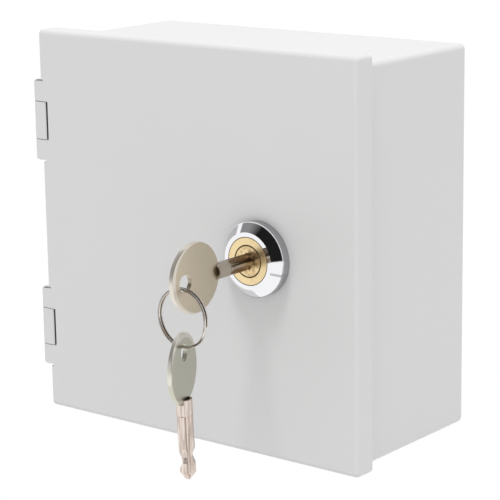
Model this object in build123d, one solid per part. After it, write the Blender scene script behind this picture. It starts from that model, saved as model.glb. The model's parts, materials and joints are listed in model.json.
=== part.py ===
from build123d import *
import math
import os

# Weatherproof outlet box: a folded steel body on a wall, a hinged door with a key lock,
# and a socket on a mounting plate inside. Millimetres. X is to the right and Z is up as
# the door is faced, Y runs into the wall, and the origin is the middle of the back face.

# Door
door_width = 150.0
door_height = 150.0
door_sheet = 1.2
door_bend_inside = 0.5
door_corner = 1.6
door_return = 8.9
hinge_side_return = 4.2

# Body
overall_depth = 73.4
body_sheet = 1.2
body_bend_inside = 0.9
side_gap = 1.8
top_gap = 2.2
bottom_gap = 0.4
lip_width = 12.0
lip_corner = 4.0

# Door gasket
gasket_thickness = 2.0
gasket_width = 8.5
gasket_edge = 1.4
gasket_gap = 0.3

# Hinges
knuckle_radius = 2.4
hinge_pin_radius = 1.2
hinge_pin_clearance = 0.05
hinge_outboard = 1.7
hinge_from_top = 35.2
hinge_from_bottom = 32.4
middle_knuckle = 14.5
outer_knuckle = 7.7
knuckle_gap = 0.3
notch_depth = 4.0
relief_width = 1.2
leaf_sheet = 1.2
leaf_flange = 14.0
leaf_bend_inside = 0.5
pin_head_radius = 1.9
pin_head_height = 0.5

# Lock
lock_from_right = 43.34
lock_above_middle = 0.5
rosette_radius = 13.9
rosette_rim = 3.2
rosette_proud = 6.37
ring_radius = 10.5
barrel_radius = 8.86
barrel_fit = 0.04
shank_radius = 10.9
shank_length = 24.0
shank_flat = 9.9
shank_fit = 0.15
seal_width = 1.3
seal_thickness = 0.8
plug_radius = 5.78
plug_fit = 0.06
nut_across_flats = 27.0
nut_thickness = 4.5
tooth_washer_radius = 14.0
tooth_washer_thickness = 0.8
tooth_count = 12

# Cam behind the lock
cam_thickness = 2.0
cam_gap = 0.3
cam_width = 14.0
cam_square = 8.0
cam_riser_at = 18.0
cam_overlap = 6.5
cam_clearance = 0.5
cam_screw_radius = 2.5
cam_screw_length = 6.0
cam_screw_head_radius = 4.4
cam_screw_head = 2.8
cam_washer_radius = 5.6
cam_washer_thickness = 0.8

# Tumblers
pin_radius = 1.0
pin_rows = 3
pin_pitch = 3.6
pin_first = 5.2
tumbler_fit = 0.08
tumbler_gap = 0.12
driver_length = 1.1
chamber_end = 0.7
spring_radius = 0.8

# Keys
bow_radius = 12.6
bow_thickness = 1.7
bow_hole_radius = 3.2
bow_hole_from_centre = 5.6
bow_hole_off_axis = 0.85
bow_edge_round = 0.25
collar_radius = 2.95
collar_bore = 2.3
collar_length = 6.0
collar_bore_depth = 4.6
bow_seat = 1.5
seat_fit = 0.05
blade_length = 23.8
blade_reach = 2.8
wing_thickness = 1.5
blade_core = 1.45
keyway_fit = 0.12
key_standing_out = 12.5
tip_length = 2.6

# Each wing's edge from the collar to the tip: distance from the tip, share of the reach
wing_edges = (
    ((10.4, 1.0), (7.2, 0.6), (5.8, 0.6), (3.9, 0.96), (3.2, 1.0)),
    ((12.0, 1.0), (10.0, 0.64), (8.4, 0.62), (6.4, 0.95), (3.2, 1.0)),
    ((11.6, 1.0), (9.6, 0.68), (8.6, 0.66), (6.2, 1.0), (3.4, 1.0)),
    ((12.6, 1.0), (10.8, 0.76), (9.6, 0.76), (7.8, 0.92), (6.4, 0.8), (5.4, 0.8), (3.2, 0.94)),
)

# Split ring and how the keys hang on it
ring_radius_middle = 10.4
ring_wire_radial = 0.8
ring_wire_axial = 0.7
ring_turn_gap = 0.46
ring_crossing_from = -52.0
ring_crossing_to = -8.0
ring_end_margin = 3.0
wire_below_hole_centre = 2.0
ring_lean = 4.4
spare_yaw = 200.0
spare_lean = 3.0

# Wall fixing, cable entries and earth
wall_hole_radius = 3.0
wall_hole_spacing_x = 104.0
wall_hole_spacing_z = 104.0
entry_hole_radius = 10.0
entry_spacing = 64.0
entry_from_back = 34.0
grommet_bore = 5.0
grommet_mouth = 7.2
grommet_bore_from = 0.4
grommet_flange_radius = 12.6
grommet_outer_flange = 1.2
grommet_inner_flange = 3.0
grommet_fit = 0.1
earth_from_plate = 11.0
earth_z = -22.0
earth_stud_radius = 3.0
earth_stud_length = 14.0
earth_stud_foot_radius = 4.5
earth_stud_foot = 1.2
earth_washer_radius = 6.0
earth_washer_thickness = 1.4
earth_nut_across_flats = 10.0
earth_nut_thickness = 5.0
thread_fit = 0.05

# Mounting plate on four studs
plate_width = 92.0
plate_height = 88.0
plate_thickness = 1.5
plate_corner = 5.0
plate_stud_spacing_x = 78.0
plate_stud_spacing_z = 74.0
plate_stud_shoulder_radius = 4.0
plate_stud_shoulder = 5.0
plate_stud_radius = 2.0
plate_stud_length = 6.5
plate_nut_across_flats = 7.0
plate_nut_thickness = 3.2

# Socket outlet
socket_x = -12.0
socket_z = 0.0
socket_size = 60.0
socket_corner = 7.0
socket_depth = 26.0
socket_wall = 2.0
recess_radius = 19.5
recess_depth = 17.0
recess_wall = 1.8
base_size = 50.0
base_thickness = 6.2
contact_spacing = 19.0
contact_radius = 3.0
contact_bore = 2.4
contact_length = 5.0
contact_fit = 0.1
contact_mouth = 2.7
clip_thickness = 0.8
clip_width = 6.0
clip_inset = 0.5
clip_length = 11.0
clip_gap = 0.1
cover_screw_radius = 1.6
cover_screw_head_radius = 3.2
cover_screw_head = 2.0
base_screw_radius = 1.7
base_screw_head_radius = 3.2
base_screw_head = 2.0
base_screw_spacing = 39.0
base_screw_nut_across_flats = 6.0
base_screw_nut = 2.2

# Places that follow from the sizes
front_y = -overall_depth
skin_back_y = front_y + door_sheet
lip_front_y = skin_back_y + gasket_thickness + gasket_gap
lip_back_y = lip_front_y + body_sheet
body_width = door_width - 2 * (door_sheet + side_gap)
body_height = door_height - 2 * door_sheet - top_gap - bottom_gap
body_depth = -lip_front_y
door_middle_z = (top_gap - bottom_gap) / 2
door_left_x = -door_width / 2
door_top_z = door_middle_z + door_height / 2
door_bottom_z = door_middle_z - door_height / 2
body_left_x = -body_width / 2
earth_x = plate_width / 2 + earth_from_plate
hinge_x = door_left_x - hinge_outboard
hinge_y = front_y + knuckle_radius
upper_hinge_z = door_top_z - hinge_from_top
lower_hinge_z = door_bottom_z + hinge_from_bottom
hinge_reach = middle_knuckle / 2 + knuckle_gap + outer_knuckle
lock_x = door_width / 2 - lock_from_right
lock_z = lock_above_middle
cam_hub = shank_length + cam_gap
cam_reach = body_width / 2 - lip_width - lock_x + cam_overlap
cam_tip = lip_back_y + cam_clearance - front_y
boss_end = cam_hub + cam_thickness - barrel_fit
keyway_end = blade_length - rosette_proud + 0.4
collar_from_bow = bow_radius - bow_seat
blade_from_bow = collar_from_bow + collar_length
bow_y = front_y - rosette_proud - key_standing_out - blade_from_bow
hole_y = bow_y - bow_hole_from_centre
ring_top_z = lock_z - bow_hole_off_axis - wire_below_hole_centre
ring_across = 2 * ring_radius_middle
ring_bottom_x = lock_x - ring_across * math.sin(math.radians(ring_lean))
ring_bottom_z = ring_top_z - ring_across * math.cos(math.radians(ring_lean))
plate_back_y = -body_sheet - plate_stud_shoulder
plate_front_y = plate_back_y - plate_thickness


def box_between(x0, x1, y0, y1, z0, z1):
    """A box from its lowest corner to its highest."""
    middle = ((x0 + x1) / 2, (y0 + y1) / 2, (z0 + z1) / 2)
    return Pos(*middle) * Box(x1 - x0, y1 - y0, z1 - z0)


def turned(points):
    """A solid of revolution about Z, from (radius, height) points."""
    outline = Polyline([(r, 0, z) for r, z in points], close=True)
    return revolve(make_face(outline), Axis.Z, 360)


def tube(outer, inner, z0, z1):
    """A plain ring about Z."""
    return turned([(inner, z0), (outer, z0), (outer, z1), (inner, z1)])


def rod(radius, z0, z1):
    """A plain rod about Z."""
    return Pos(0, 0, (z0 + z1) / 2) * Cylinder(radius, z1 - z0)


def plain_nut(across_flats, bore, z0, z1):
    """A small hexagon nut with sharp corners."""
    prism = Pos(0, 0, z0) * extrude(RegularPolygon(across_flats / 2, 6, major_radius=False), z1 - z0)
    return prism - rod(bore, z0 - 1, z1 + 1)


def hex_nut(across_flats, bore, z0, z1):
    """A hexagon nut with its corners turned off on both faces."""
    corner = across_flats / math.sqrt(3)
    chamfer_depth = 0.08 * across_flats
    flat = across_flats / 2 - 0.1
    z2 = z0 + chamfer_depth
    z3 = z1 - chamfer_depth
    blank = turned([(0, z0), (flat, z0), (corner, z2), (corner, z3), (flat, z1), (0, z1)])
    return plain_nut(across_flats, bore, z0, z1) & blank


def at_lock(shape):
    """From the lock's own axis, Z into the door from its front face, to the box."""
    return Pos(lock_x, front_y, lock_z) * Rot(-90, 0, 0) * shape


def inwards(x, y, z, shape):
    """Stands a shape with its Z axis pointing out of the wall, at a point."""
    return Pos(x, y, z) * Rot(90, 0, 0) * shape


def corners(spacing_x, spacing_z):
    """The four corners of a rectangle of fixings."""
    return [(sx * spacing_x / 2, sz * spacing_z / 2) for sx in (-1, 1) for sz in (-1, 1)]


def rounded_plate(width, height, corner, y0, y1):
    """A flat plate across Y with round corners."""
    plate = box_between(-width / 2, width / 2, y0, y1, -height / 2, height / 2)
    return fillet(plate.edges().filter_by(Axis.Y), corner)


def nearest_vertex(face, x, y):
    """The corner of a flat outline closest to a point."""
    return min(face.vertices(), key=lambda v: (v.X - x) ** 2 + (v.Y - y) ** 2)


def eye_outline(sheet):
    """Profile of a rolled knuckle, with the sheet leaving it at the front."""
    r = knuckle_radius
    inner = r - sheet
    meet_x = math.sqrt(r * r - inner * inner)
    start = (hinge_x, hinge_y - r)
    meet = (hinge_x + meet_x, hinge_y - inner)
    far_side = (hinge_x - r, hinge_y)
    back = (hinge_x, hinge_y + r)
    near_side_angle = math.atan2(inner, meet_x) / 2
    near_side = (hinge_x + r * math.cos(near_side_angle), hinge_y - r * math.sin(near_side_angle))
    arcs = ThreePointArc(start, far_side, back) + ThreePointArc(back, near_side, meet)
    return start, meet, arcs


def door_knuckle(z0, z1):
    """One outer knuckle, rolled from the door's own skin."""
    start, meet, arcs = eye_outline(door_sheet)
    edge_x = door_left_x + notch_depth
    lines = Polyline([meet, (edge_x, meet[1]), (edge_x, start[1]), start])
    bore = Pos(hinge_x, hinge_y) * Circle(hinge_pin_radius + hinge_pin_clearance)
    profile = make_face(arcs + lines) - bore
    return Pos(0, 0, z0) * extrude(profile, z1 - z0)


def hinge_leaf(z_middle):
    """Body leaf: the middle knuckle, and the flange that runs back and is welded to the side."""
    start, meet, arcs = eye_outline(leaf_sheet)
    wall_x = body_left_x
    back_y = start[1] + leaf_flange
    inner_corner = (wall_x - leaf_sheet, meet[1])
    outer_corner = (wall_x, start[1])
    end = [(wall_x - leaf_sheet, back_y), (wall_x, back_y)]
    lines = Polyline([meet, inner_corner, *end, outer_corner, start])
    profile = make_face(arcs + lines)
    profile = fillet(nearest_vertex(profile, *outer_corner), leaf_sheet + leaf_bend_inside)
    profile = fillet(nearest_vertex(profile, *inner_corner), leaf_bend_inside)
    profile -= Pos(hinge_x, hinge_y) * Circle(hinge_pin_radius + hinge_pin_clearance)
    return Pos(0, 0, z_middle - middle_knuckle / 2) * extrude(profile, middle_knuckle)


def hinge_pin(z_middle):
    """Hinge pin with a headed end under and over the knuckles."""
    top = hinge_reach + pin_head_height
    head = knuckle_gap / 10
    points = [
        (0, -hinge_reach - pin_head_height),
        (pin_head_radius - 0.4, -hinge_reach - pin_head_height),
        (pin_head_radius, -hinge_reach - 0.2),
        (pin_head_radius, -hinge_reach - head),
        (hinge_pin_radius, -hinge_reach - head),
        (hinge_pin_radius, hinge_reach + head),
        (pin_head_radius, hinge_reach + head),
        (pin_head_radius, hinge_reach + 0.2),
        (pin_head_radius - 0.4, top),
        (0, top),
    ]
    return Pos(hinge_x, hinge_y, z_middle) * turned(points)


def lock_cut_out():
    """The door's hole for the lock, flat on two sides."""
    hole = rod(shank_radius + shank_fit, -1, door_sheet + 1)
    flat = shank_flat + shank_fit
    return at_lock(hole & box_between(-flat, flat, -rosette_radius, rosette_radius, -2, door_sheet + 2))


def door_panel():
    """Door: a folded tray with a shallow return on the hinge side and rolled knuckles."""
    bend = door_bend_inside + door_sheet
    right_x = -door_left_x
    back_y = front_y + door_return
    tray = box_between(door_left_x, right_x, front_y, back_y, door_bottom_z, door_top_z)
    tray = fillet(tray.edges().filter_by(Axis.Y), door_corner)
    tray = fillet(tray.faces().sort_by(Axis.Y)[0].edges(), bend)
    s = door_sheet
    low, high = door_bottom_z + s, door_top_z - s
    hollow = box_between(door_left_x + s, right_x - s, front_y + s, back_y + 1, low, high)
    hollow = fillet(hollow.edges().filter_by(Axis.Y), max(door_corner - s, 0.3))
    hollow = fillet(hollow.faces().sort_by(Axis.Y)[0].edges(), door_bend_inside)
    panel = tray - hollow
    panel -= box_between(
        door_left_x - 1, door_left_x + bend, front_y + hinge_side_return, back_y + 1,
        door_bottom_z + s, door_top_z - s,
    )
    for z in (upper_hinge_z, lower_hinge_z):
        reach = hinge_reach + relief_width
        cleared = door_left_x + bend + 0.2
        panel -= box_between(door_left_x - 1, cleared, front_y - 1, back_y, z - reach, z + reach)
        middle = middle_knuckle / 2 + 2 * knuckle_gap
        notch_x = door_left_x + notch_depth
        panel -= box_between(door_left_x - 1, notch_x, front_y - 1, back_y, z - middle, z + middle)
        inner = middle_knuckle / 2 + knuckle_gap
        panel += door_knuckle(z + inner, z + inner + outer_knuckle)
        panel += door_knuckle(z - inner - outer_knuckle, z - inner)
    return panel - lock_cut_out()


def door_gasket():
    """Foam strip in the door, facing the body's lip all round."""
    outer_x = body_width / 2 - gasket_edge
    outer_z = body_height / 2 - gasket_edge
    back_y = skin_back_y + gasket_thickness
    outer = rounded_plate(2 * outer_x, 2 * outer_z, lip_corner, skin_back_y, back_y)
    inner_x = outer_x - gasket_width
    inner_z = outer_z - gasket_width
    inner = rounded_plate(2 * inner_x, 2 * inner_z, lip_corner, skin_back_y - 1, back_y + 1)
    ring = outer - inner
    face = ring.faces().sort_by(Axis.Y)[-1]
    return chamfer(face.edges().filter_by(GeomType.LINE) + face.edges().filter_by(GeomType.CIRCLE), 0.6)


def body_shell():
    """Body: a folded shell with an inward lip round the door opening."""
    bend = body_bend_inside + body_sheet
    half_x = body_width / 2
    half_z = body_height / 2
    shell = box_between(-half_x, half_x, lip_front_y, 0, -half_z, half_z)
    shell = fillet(shell.edges().filter_by(Axis.Y), bend)
    shell = fillet(shell.faces().sort_by(Axis.Y)[0].edges(), bend - 0.2)
    shell = fillet(shell.faces().sort_by(Axis.Y)[-1].edges(), bend - 0.2)
    s = body_sheet
    hollow = box_between(-half_x + s, half_x - s, lip_back_y, -s, -half_z + s, half_z - s)
    hollow = fillet(hollow.edges().filter_by(Axis.Y), body_bend_inside)
    shell -= hollow
    opening_x = half_x - lip_width
    opening_z = half_z - lip_width
    shell -= rounded_plate(2 * opening_x, 2 * opening_z, lip_corner, lip_front_y - 1, lip_back_y + 1)
    for x, z in corners(wall_hole_spacing_x, wall_hole_spacing_z):
        shell -= inwards(x, 0, z, rod(wall_hole_radius, -1, s + 1))
    for x in (-entry_spacing / 2, entry_spacing / 2):
        shell -= Pos(x, -entry_from_back, -half_z) * rod(entry_hole_radius, -1, s + 1)
    return shell


def cable_grommet(x):
    """Rubber grommet in an entry hole: a funnel mouth below, and the cable's bore above the sheet."""
    s = body_sheet
    neck = entry_hole_radius - grommet_fit
    flange = grommet_flange_radius
    inner_top = s + grommet_inner_flange
    bore_low = s + grommet_bore_from
    points = [
        (grommet_mouth, -grommet_outer_flange),
        (flange - 0.6, -grommet_outer_flange),
        (flange, -grommet_outer_flange + 0.6),
        (flange, 0),
        (neck, 0),
        (neck, s),
        (flange - 0.6, s),
        (flange - 0.6, s + 0.6),
        (grommet_mouth, inner_top),
        (grommet_bore, inner_top),
        (grommet_bore, bore_low),
    ]
    return Pos(x, -entry_from_back, -body_height / 2) * turned(points)


def earth_place(shape):
    """From the earth stud's own axis, Z out of the back wall, to the box."""
    return inwards(earth_x, -body_sheet, earth_z, shape)


def earth_stud():
    """Welded stud with a wide foot."""
    r = earth_stud_radius
    end = earth_stud_length
    foot = earth_stud_foot
    wide = earth_stud_foot_radius
    points = [(0, 0), (wide, 0), (wide, foot), (r, foot), (r, end - 0.6), (r - 0.6, end), (0, end)]
    return earth_place(turned(points))


def earth_washer():
    start, end = earth_stud_foot, earth_stud_foot + earth_washer_thickness
    return earth_place(tube(earth_washer_radius, earth_stud_radius + thread_fit, start, end))


def earth_nut():
    start = earth_stud_foot + earth_washer_thickness
    end = start + earth_nut_thickness
    return earth_place(hex_nut(earth_nut_across_flats, earth_stud_radius + thread_fit, start, end))


def plate_studs():
    """Four shouldered studs that carry the mounting plate."""
    shoulder = plate_stud_shoulder
    end = shoulder + plate_thickness + plate_stud_length
    r = plate_stud_radius
    big = plate_stud_shoulder_radius
    steps = [(0, 0), (big, 0), (big, shoulder), (r, shoulder), (r, end - 0.4), (r - 0.4, end), (0, end)]
    stud = turned(steps)
    places = corners(plate_stud_spacing_x, plate_stud_spacing_z)
    return Compound(children=[inwards(x, -body_sheet, z, stud) for x, z in places])


def mounting_plate():
    """Plate with four stud holes and the socket's two fixing holes."""
    plate = rounded_plate(plate_width, plate_height, plate_corner, plate_front_y, plate_back_y)
    for x, z in corners(plate_stud_spacing_x, plate_stud_spacing_z):
        plate -= inwards(x, plate_back_y, z, rod(plate_stud_radius + 0.25, -1, plate_thickness + 1))
    for x, z in base_screw_places():
        plate -= inwards(x, plate_back_y, z, rod(base_screw_radius + 0.1, -1, plate_thickness + 1))
    return plate


def plate_nuts():
    """Nuts that hold the mounting plate down."""
    nut = plain_nut(plate_nut_across_flats, plate_stud_radius + thread_fit, 0, plate_nut_thickness)
    places = corners(plate_stud_spacing_x, plate_stud_spacing_z)
    return Compound(children=[inwards(x, plate_front_y, z, nut) for x, z in places])


def base_screw_places():
    """Two fixing screws across a diagonal of the socket base."""
    half = base_screw_spacing / 2
    return [(socket_x - half, socket_z + half), (socket_x + half, socket_z - half)]


def at_socket(shape):
    """From the socket's own axis, Z out of the mounting plate, to the box."""
    return inwards(socket_x, plate_front_y, socket_z, shape)


def socket_base():
    """Moulded base with pockets for the two contact sleeves."""
    base = Pos(0, 0, base_thickness / 2) * Box(base_size, base_size, base_thickness)
    base = fillet(base.edges().filter_by(Axis.Z), socket_corner - socket_wall)
    base = chamfer(base.faces().sort_by(Axis.Z)[-1].edges(), 0.5)
    for side in (-1, 1):
        pocket = rod(contact_radius + contact_fit, base_thickness - contact_length, base_thickness + 1)
        base -= Pos(side * contact_spacing / 2, 0, 0) * pocket
    base -= rod(cover_screw_radius + thread_fit, 1.0, base_thickness + 1)
    for x, z in base_screw_places():
        hole = rod(base_screw_radius + 0.1, -1, base_thickness + 1)
        base -= Pos(x - socket_x, z - socket_z, 0) * hole
    return at_socket(base)


def socket_cover():
    """Cover with a round plug recess that has holes for the pins and the earth clips."""
    w = socket_wall
    block = Pos(0, 0, socket_depth / 2) * Box(socket_size, socket_size, socket_depth)
    block = fillet(block.edges().filter_by(Axis.Z), socket_corner)
    block = fillet(block.faces().sort_by(Axis.Z)[-1].edges(), 1.5)
    inner = socket_size - 2 * w
    hollow = Pos(0, 0, (socket_depth - w) / 2) * Box(inner, inner, socket_depth - w)
    hollow = fillet(hollow.edges().filter_by(Axis.Z), socket_corner - w)
    floor = socket_depth - recess_depth
    cup = rod(recess_radius + recess_wall, floor - recess_wall, socket_depth - w)
    cover = block - (hollow - cup) - rod(recess_radius, floor, socket_depth + 1)
    for side in (-1, 1):
        cover -= Pos(side * contact_spacing / 2, 0, 0) * rod(contact_mouth, 0, socket_depth)
        leg = clip_leg(side, clip_gap)
        cover -= leg
    cover -= rod(cover_screw_radius + 0.15, 0, socket_depth)
    return at_socket(cover)


def clip_leg(side, grow):
    """One leg of the earth spring, standing in the recess just inside its wall."""
    outer = recess_radius - clip_inset + grow
    inner = recess_radius - clip_inset - clip_thickness - grow
    low = base_thickness + clip_thickness / 2
    high = socket_depth - recess_depth + clip_length
    half = clip_width / 2 + grow
    y0, y1 = sorted((side * inner, side * outer))
    return box_between(-half, half, y0, y1, low, high + grow)


def socket_contacts():
    """Two sleeves that a plug's pins enter."""
    sleeve = tube(contact_radius, contact_bore, base_thickness - contact_length, base_thickness)
    places = [side * contact_spacing / 2 for side in (-1, 1)]
    return Compound(children=[at_socket(Pos(x, 0, 0) * sleeve) for x in places])


def socket_earth_clip():
    """Earth spring: one strip under the recess with a leg at its top and bottom."""
    reach = recess_radius - clip_inset
    half, top = clip_width / 2, base_thickness + clip_thickness
    strip = box_between(-half, half, -reach, reach, base_thickness, top)
    spring = strip + clip_leg(-1, 0) + clip_leg(1, 0)
    return at_socket(spring - rod(cover_screw_radius + 0.15, 0, socket_depth))


def pan_screw(radius, head_radius, head, seat, end):
    """A screw along Z with a domed head above its seat."""
    dome = [(0, seat + head), (head_radius * 0.55, seat + head * 0.92)]
    dome += [(head_radius * 0.9, seat + head * 0.55), (head_radius, seat)]
    return turned([(0, end), (radius, end), (radius, seat), *reversed(dome)])


def socket_cover_screw():
    """Screw in the middle of the recess, into the base."""
    seat = socket_depth - recess_depth
    screw = pan_screw(cover_screw_radius, cover_screw_head_radius, cover_screw_head, seat, 1.4)
    return at_socket(screw)


def socket_base_screws():
    """Screws that hold the base to the plate."""
    end = -plate_thickness - base_screw_nut - 0.5
    screw = pan_screw(base_screw_radius, base_screw_head_radius, base_screw_head, base_thickness, end)
    places = base_screw_places()
    return Compound(children=[inwards(x, plate_front_y, z, screw) for x, z in places])


def socket_base_nuts():
    """Nuts behind the plate."""
    low = -plate_thickness - base_screw_nut
    nut = plain_nut(base_screw_nut_across_flats, base_screw_radius + thread_fit, low, -plate_thickness)
    return Compound(children=[inwards(x, plate_front_y, z, nut) for x, z in base_screw_places()])


def lock_housing():
    """Rosette in front of the door, and the shank with two flats behind it."""
    bore = barrel_radius + barrel_fit
    seal = shank_radius + seal_width
    points = [
        (bore, -rosette_proud),
        (ring_radius, -rosette_proud),
        (rosette_radius, -rosette_rim),
        (rosette_radius, 0),
        (seal, 0),
        (seal, -seal_thickness),
        (shank_radius, -seal_thickness),
        (shank_radius, shank_length - 0.5),
        (shank_radius - 0.5, shank_length),
        (bore, shank_length),
    ]
    housing = turned(points)
    circles = housing.edges().filter_by(GeomType.CIRCLE)
    rim = circles.filter_by(lambda e: abs(e.radius - rosette_radius) < 0.01)
    housing = fillet(rim.sort_by(Axis.Z)[0], 0.3)
    for side in (-1, 1):
        x0, x1 = sorted((side * shank_flat, side * (shank_radius + 1)))
        housing -= box_between(x0, x1, -rosette_radius, rosette_radius, 0, shank_length + 1)
    return at_lock(housing)


def lock_seal_washer():
    """Rubber ring in the rosette's back, against the door."""
    inner = shank_radius + shank_fit
    outer = shank_radius + seal_width - 0.1
    return at_lock(tube(outer, inner, -seal_thickness, 0))


def lock_tooth_washer():
    """Washer with teeth round its rim, under the nut."""
    z0 = door_sheet
    z1 = door_sheet + tooth_washer_thickness
    washer = tube(tooth_washer_radius, shank_radius + thread_fit, z0, z1)
    notch = 0.45 * math.pi * tooth_washer_radius / tooth_count
    for i in range(tooth_count):
        near, far = tooth_washer_radius - 1.2, tooth_washer_radius + 1
        gap = box_between(near, far, -notch / 2, notch / 2, z0 - 1, z1 + 1)
        washer -= Rot(0, 0, 360 / tooth_count * i) * gap
    return at_lock(washer)


def lock_nut():
    """Thin hexagon nut on the shank."""
    z0 = door_sheet + tooth_washer_thickness
    return at_lock(hex_nut(nut_across_flats, shank_radius + thread_fit, z0, z0 + nut_thickness))


def tumbler_places():
    """Depths of the tumbler rows behind the lock's front face."""
    return [pin_first + pin_pitch * i - rosette_proud for i in range(pin_rows)]


def around_the_plug(shape):
    """Turns a radial shape (its Z axis outwards) to every row of tumblers."""
    upright = Rot(0, 90, 0) * shape
    places = [(depth, 90 * k) for depth in tumbler_places() for k in range(4)]
    return [Rot(0, 0, angle) * Pos(0, 0, depth) * upright for depth, angle in places]


def lock_barrel():
    """Brass barrel with the plug's bore and the tumblers' chambers."""
    barrel = tube(barrel_radius, plug_radius + plug_fit, -rosette_proud, shank_length)
    chamber = rod(pin_radius + tumbler_fit, plug_radius - 1, barrel_radius - chamber_end)
    for hole in around_the_plug(chamber):
        barrel -= hole
    return at_lock(barrel)


def lock_plug():
    """Brass plug: cross keyway, tumbler holes, and a square boss with a screw hole for the cam."""
    plug = rod(plug_radius, -rosette_proud, shank_length)
    side = cam_square / 2
    plug += box_between(-side, side, -side, side, shank_length, boss_end)
    reach = blade_reach + keyway_fit
    half = wing_thickness / 2 + keyway_fit
    depth = keyway_end
    plug -= box_between(-reach, reach, -half, half, -rosette_proud - 1, depth)
    plug -= box_between(-half, half, -reach, reach, -rosette_proud - 1, depth)
    plug -= rod(blade_core + keyway_fit, -rosette_proud - 1, depth)
    plug -= rod(cam_screw_radius + thread_fit, boss_end - cam_screw_length, boss_end + 1)
    for hole in around_the_plug(rod(pin_radius + tumbler_fit, blade_reach, plug_radius + 1)):
        plug -= hole
    return at_lock(plug)


def tumbler_pins():
    """The plug's half of the tumblers, just short of the shear line."""
    low = blade_reach + keyway_fit
    high = math.sqrt((plug_radius - tumbler_gap) ** 2 - pin_radius**2)
    return Compound(children=[at_lock(p) for p in around_the_plug(rod(pin_radius, low, high))])


def driver_pins():
    """The barrel's half of the tumblers, just past the shear line."""
    low = plug_radius + plug_fit + tumbler_gap
    pin = rod(pin_radius, low, low + driver_length)
    return Compound(children=[at_lock(p) for p in around_the_plug(pin)])


def driver_springs():
    """The springs behind the driver pins, shut in and pressed solid, so each is a short plain rod."""
    low = plug_radius + plug_fit + tumbler_gap + driver_length
    spring = rod(spring_radius, low, barrel_radius - chamber_end)
    return Compound(children=[at_lock(p) for p in around_the_plug(spring)])


def lock_cam():
    """Cranked cam: hub on the plug's square, a riser towards the door, a finger behind the lip."""
    t = cam_thickness
    hub_back = cam_hub + t
    half = cam_width / 2
    finger_front = cam_tip
    finger_back = cam_tip + t
    riser = cam_riser_at
    side = [
        (-half, cam_hub), (riser - t, cam_hub), (riser - t, finger_front), (cam_reach, finger_front),
        (cam_reach, finger_back), (riser, finger_back), (riser, hub_back), (-half, hub_back),
    ]
    outline = make_face(Polyline([(-half, y, z) for y, z in side], close=True))
    cam = extrude(outline, cam_width, dir=(1, 0, 0))
    bends = [
        (riser - t, cam_hub, 0.5), (riser, hub_back, 0.5 + t),
        (riser - t, finger_front, 0.5 + t), (riser, finger_back, 0.5),
    ]
    for y, z, radius in bends:
        edges = cam.edges().filter_by(Axis.X)
        edge = min(edges, key=lambda e: (e.center().Y - y) ** 2 + (e.center().Z - z) ** 2)
        cam = fillet(edge, radius)
    plan = Circle(half) + Pos(0, cam_reach / 2 - 2, 0) * Rectangle(cam_width, cam_reach - 4)
    plan += Pos(0, cam_reach - half + 1.5, 0) * Circle(half - 1.5)
    cam &= Pos(0, 0, finger_front - 1) * extrude(plan, hub_back - finger_front + 2)
    square = cam_square / 2 + 0.05
    cam -= box_between(-square, square, -square, square, cam_hub - 1, hub_back + 1)
    return at_lock(cam)


def cam_washer():
    z0 = cam_hub + cam_thickness
    return at_lock(tube(cam_washer_radius, cam_screw_radius + 0.1, z0, z0 + cam_washer_thickness))


def cam_screw():
    """Screw in the plug's end, with a cross-slotted domed head."""
    seat = cam_hub + cam_thickness + cam_washer_thickness
    end = boss_end - cam_screw_length + 0.3
    screw = pan_screw(cam_screw_radius, cam_screw_head_radius, cam_screw_head, seat, end)
    depth = seat + cam_screw_head
    slot = 0.45 * cam_screw_head_radius
    for turn in (0, 90):
        screw -= Rot(0, 0, turn) * box_between(-slot, slot, -0.45, 0.45, depth - 1.4, depth + 1)
    return at_lock(screw)


def key_bow():
    """Round bow about its own middle, its flat faces across X, with a tang below for the collar."""
    half = bow_thickness / 2
    disc = Rot(0, 90, 0) * Cylinder(bow_radius, bow_thickness)
    tang_end = -collar_from_bow - collar_bore_depth + 2 * seat_fit
    tang_half = collar_bore - 2 * seat_fit
    disc += box_between(-half, half, -tang_half, tang_half, tang_end, -bow_radius + 2)
    disc = chamfer(disc.faces().sort_by(Axis.X)[-1].edges().filter_by(GeomType.CIRCLE), bow_edge_round)
    disc = chamfer(disc.faces().sort_by(Axis.X)[0].edges().filter_by(GeomType.CIRCLE), bow_edge_round)
    bore = Cylinder(collar_bore - seat_fit, 40)
    deepest = -collar_from_bow - bow_seat - seat_fit
    seat = box_between(-half - 1, half + 1, -collar_radius, collar_radius, -40, deepest)
    disc -= seat - bore
    hole = Rot(0, 90, 0) * Cylinder(bow_hole_radius, bow_thickness + 2)
    return disc - Pos(0, -bow_hole_off_axis, bow_hole_from_centre) * hole


def wing(edge):
    """One flat wing of the blade, from the axis out to its cut edge, along -Z below the collar."""
    end = blade_length
    half = wing_thickness / 2
    run = [(0, 0), (blade_reach, 0)]
    run += [(blade_reach * share, -(end - from_tip)) for from_tip, share in edge]
    last = blade_reach * edge[-1][1]
    run += [(last, -(end - tip_length)), (0.7, -end), (0, -end)]
    kept = [run[0]]
    for point in run[1:]:
        if math.dist(point, kept[-1]) > 0.05:
            kept.append(point)
    face = make_face(Polyline([(x, -half, z) for x, z in kept], close=True))
    return extrude(face, wing_thickness, dir=(0, 1, 0))


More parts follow.
